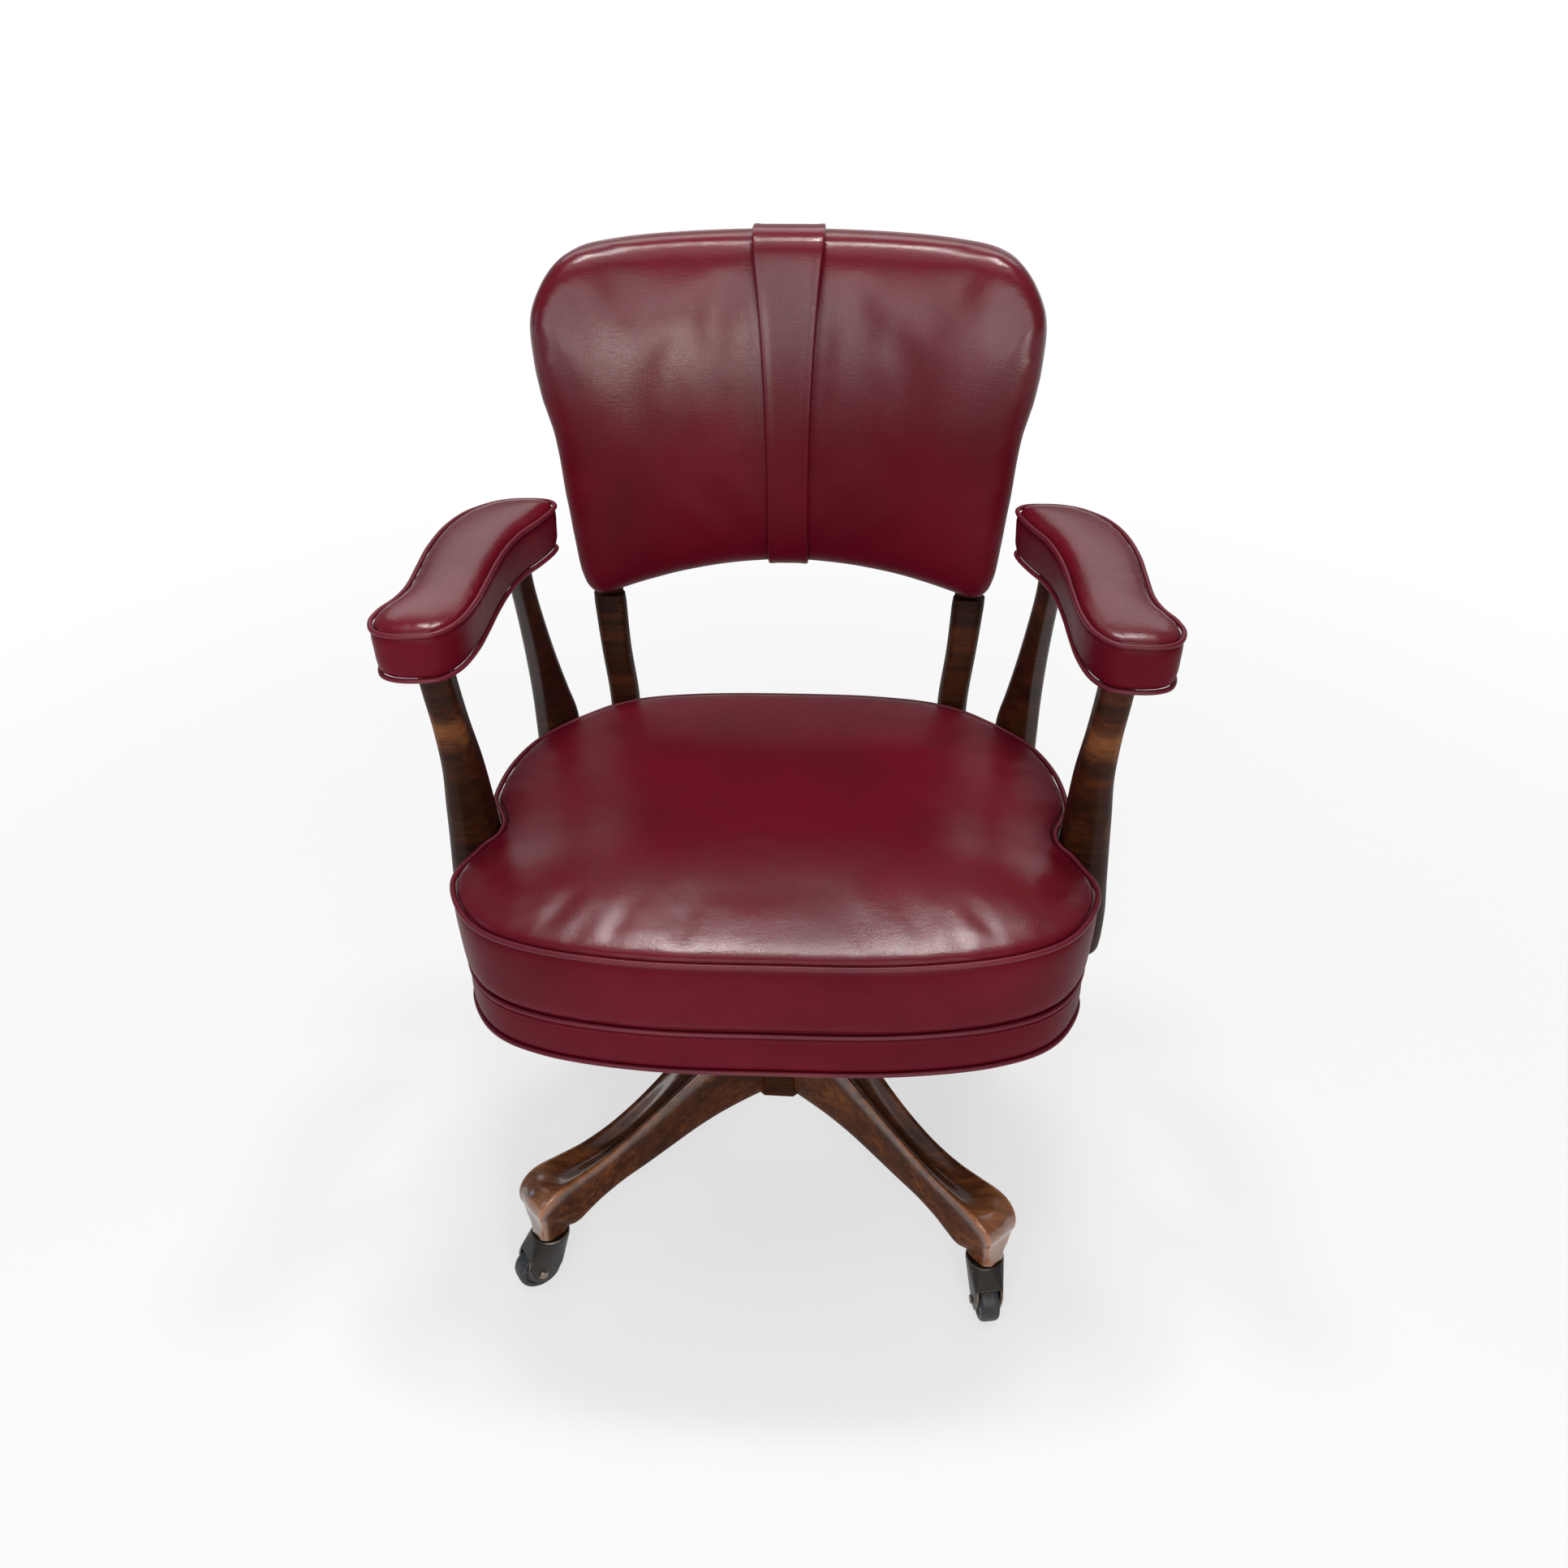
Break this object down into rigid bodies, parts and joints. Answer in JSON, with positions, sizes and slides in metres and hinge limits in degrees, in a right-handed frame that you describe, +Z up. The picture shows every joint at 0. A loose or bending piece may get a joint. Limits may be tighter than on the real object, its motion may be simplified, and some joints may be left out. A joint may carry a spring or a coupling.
{
  "type": "swivel desk chair",
  "caption": "Oxblood vinyl swivel desk chair with padded arms, curved padded back, carved dark wood posts and a carved wooden pedestal on casters.",
  "frame": {"origin": "on the floor, on the axis of the height spindle and of the seat's swivel", "axes": "+Z up, -Y is the way that the chair faces, +X is to the right for somebody who looks at its front"},
  "size_m": [0.6318, 0.5455, 0.8295],
  "materials": {
    "lacquered_wood": "dark red-brown stained and lacquered hardwood, worn paler on the ridges",
    "dowel_wood": "plain beech dowel",
    "plain_steel": "plain steel, lightly oiled",
    "caster_bronze": "blackened bronze, worn brighter on the edges",
    "wheel_rubber": "hard black rubber, dull and scuffed",
    "black_enamel": "black enamelled cast and pressed metal",
    "washer_bronze": "plain bronze washer",
    "knob_black": "black moulded knob",
    "dust_cloth": "black woven cloth, stretched under the seat frame",
    "frame_wood": "plain plywood and rail timber, unfinished",
    "oxblood_vinyl": "oxblood vinyl with a fine grain and a soft sheen",
    "oxblood_piping": "oxblood vinyl piping"
  },
  "bodies": {
    "base": {"base_hub": "lacquered_wood", "leg_front_left": "lacquered_wood", "leg_front_right": "lacquered_wood", "leg_rear_right": "lacquered_wood", "leg_rear_left": "lacquered_wood", "leg_dowels": "dowel_wood", "hub_sleeve": "plain_steel", "flange_screws": "plain_steel", "caster_sockets": "plain_steel"},
    "caster_front_left": {"caster_horn_front_left": "caster_bronze", "caster_axle_front_left": "plain_steel"},
    "wheel_front_left": {"caster_wheel_front_left": "wheel_rubber"},
    "caster_front_right": {"caster_horn_front_right": "caster_bronze", "caster_axle_front_right": "plain_steel"},
    "wheel_front_right": {"caster_wheel_front_right": "wheel_rubber"},
    "caster_rear_right": {"caster_horn_rear_right": "caster_bronze", "caster_axle_rear_right": "plain_steel"},
    "wheel_rear_right": {"caster_wheel_rear_right": "wheel_rubber"},
    "caster_rear_left": {"caster_horn_rear_left": "caster_bronze", "caster_axle_rear_left": "plain_steel"},
    "wheel_rear_left": {"caster_wheel_rear_left": "wheel_rubber"},
    "handwheel": {"height_handwheel": "black_enamel"},
    "spindle": {"height_spindle": "plain_steel", "thrust_washer": "washer_bronze"},
    "swivel_head": {"tilt_housing": "black_enamel", "tilt_shaft": "plain_steel", "tilt_spring": "plain_steel"},
    "tension_knob": {"tension_knob": "knob_black"},
    "seat": {"tension_bolt": "plain_steel", "spring_washer": "plain_steel", "seat_plate": "black_enamel", "plate_screws": "plain_steel", "dust_cover": "dust_cloth", "seat_frame": "frame_wood", "seat_deck": "frame_wood", "seat_lower_band": "oxblood_vinyl", "seat_cushion": "oxblood_vinyl", "seat_top_welt": "oxblood_piping", "seat_middle_welt": "oxblood_piping", "seat_bottom_welt": "oxblood_piping", "arm_post_front_left": "lacquered_wood", "arm_post_front_right": "lacquered_wood", "arm_post_rear_left": "lacquered_wood", "arm_post_rear_right": "lacquered_wood", "back_post_left": "lacquered_wood", "back_post_right": "lacquered_wood", "post_bolts": "plain_steel", "arm_dowels": "dowel_wood", "arm_board_left": "frame_wood", "arm_board_right": "frame_wood", "arm_pad_left": "oxblood_vinyl", "arm_pad_right": "oxblood_vinyl", "arm_welts_left": "oxblood_piping", "arm_welts_right": "oxblood_piping", "back_board": "frame_wood", "back_frame": "frame_wood", "back_cushion": "oxblood_vinyl", "back_strip": "oxblood_vinyl", "back_outer_panel": "oxblood_vinyl", "back_welt": "oxblood_piping"}
  },
  "joints": [
    {"name": "caster_swivel_front_left", "type": "hinge", "parent": "base", "child": "caster_front_left", "pos_m": [-0.20405, -0.19028, 0.06], "axis": [0, 0, 1], "continuous": true},
    {"name": "wheel_spin_front_left", "type": "hinge", "parent": "caster_front_left", "child": "wheel_front_left", "pos_m": [-0.21814, -0.19978, 0.0205], "axis": [0.5592, -0.829, 0], "continuous": true},
    {"name": "caster_swivel_front_right", "type": "hinge", "parent": "base", "child": "caster_front_right", "pos_m": [0.19028, -0.20405, 0.06], "axis": [0, 0, 1], "continuous": true},
    {"name": "wheel_spin_front_right", "type": "hinge", "parent": "caster_front_right", "child": "wheel_front_right", "pos_m": [0.19294, -0.22084, 0.0205], "axis": [0.9877, 0.1564, 0], "continuous": true},
    {"name": "caster_swivel_rear_right", "type": "hinge", "parent": "base", "child": "caster_rear_right", "pos_m": [0.20405, 0.19028, 0.06], "axis": [0, 0, 1], "continuous": true},
    {"name": "wheel_spin_rear_right", "type": "hinge", "parent": "caster_rear_right", "child": "wheel_rear_right", "pos_m": [0.21906, 0.19826, 0.0205], "axis": [-0.4695, 0.8829, 0], "continuous": true},
    {"name": "caster_swivel_rear_left", "type": "hinge", "parent": "base", "child": "caster_rear_left", "pos_m": [-0.19028, 0.20405, 0.06], "axis": [0, 0, 1], "continuous": true},
    {"name": "wheel_spin_rear_left", "type": "hinge", "parent": "caster_rear_left", "child": "wheel_rear_left", "pos_m": [-0.19826, 0.21906, 0.0205], "axis": [-0.8829, -0.4695, 0], "continuous": true},
    {"name": "height_slide", "type": "slide", "parent": "base", "child": "spindle", "axis": [0, 0, 1], "range_m": [0, 0.075]},
    {"name": "handwheel_turn", "type": "hinge", "parent": "base", "child": "handwheel", "pos_m": [0, 0, 0.209], "axis": [0, 0, 1], "range_deg": [0, 4501]},
    {"name": "seat_swivel", "type": "hinge", "parent": "spindle", "child": "swivel_head", "pos_m": [0, 0, 0.245], "axis": [0, 0, 1], "continuous": true},
    {"name": "seat_tilt", "type": "hinge", "parent": "swivel_head", "child": "seat", "pos_m": [0, 0, 0.2695], "axis": [-1, 0, 0], "range_deg": [0, 12], "stiffness_Nm_per_rad": 70, "springref_deg": -34.38, "deforming": ["tilt_spring"]},
    {"name": "tension_knob_turn", "type": "hinge", "parent": "seat", "child": "tension_knob", "pos_m": [0, -0.064, 0.21], "axis": [0, 0, 1], "range_deg": [0, 1800]}
  ],
  "couplings": [
    {"joint": "handwheel_turn", "follows": "height_slide", "rad_per_m": 1047.2}
  ]
}
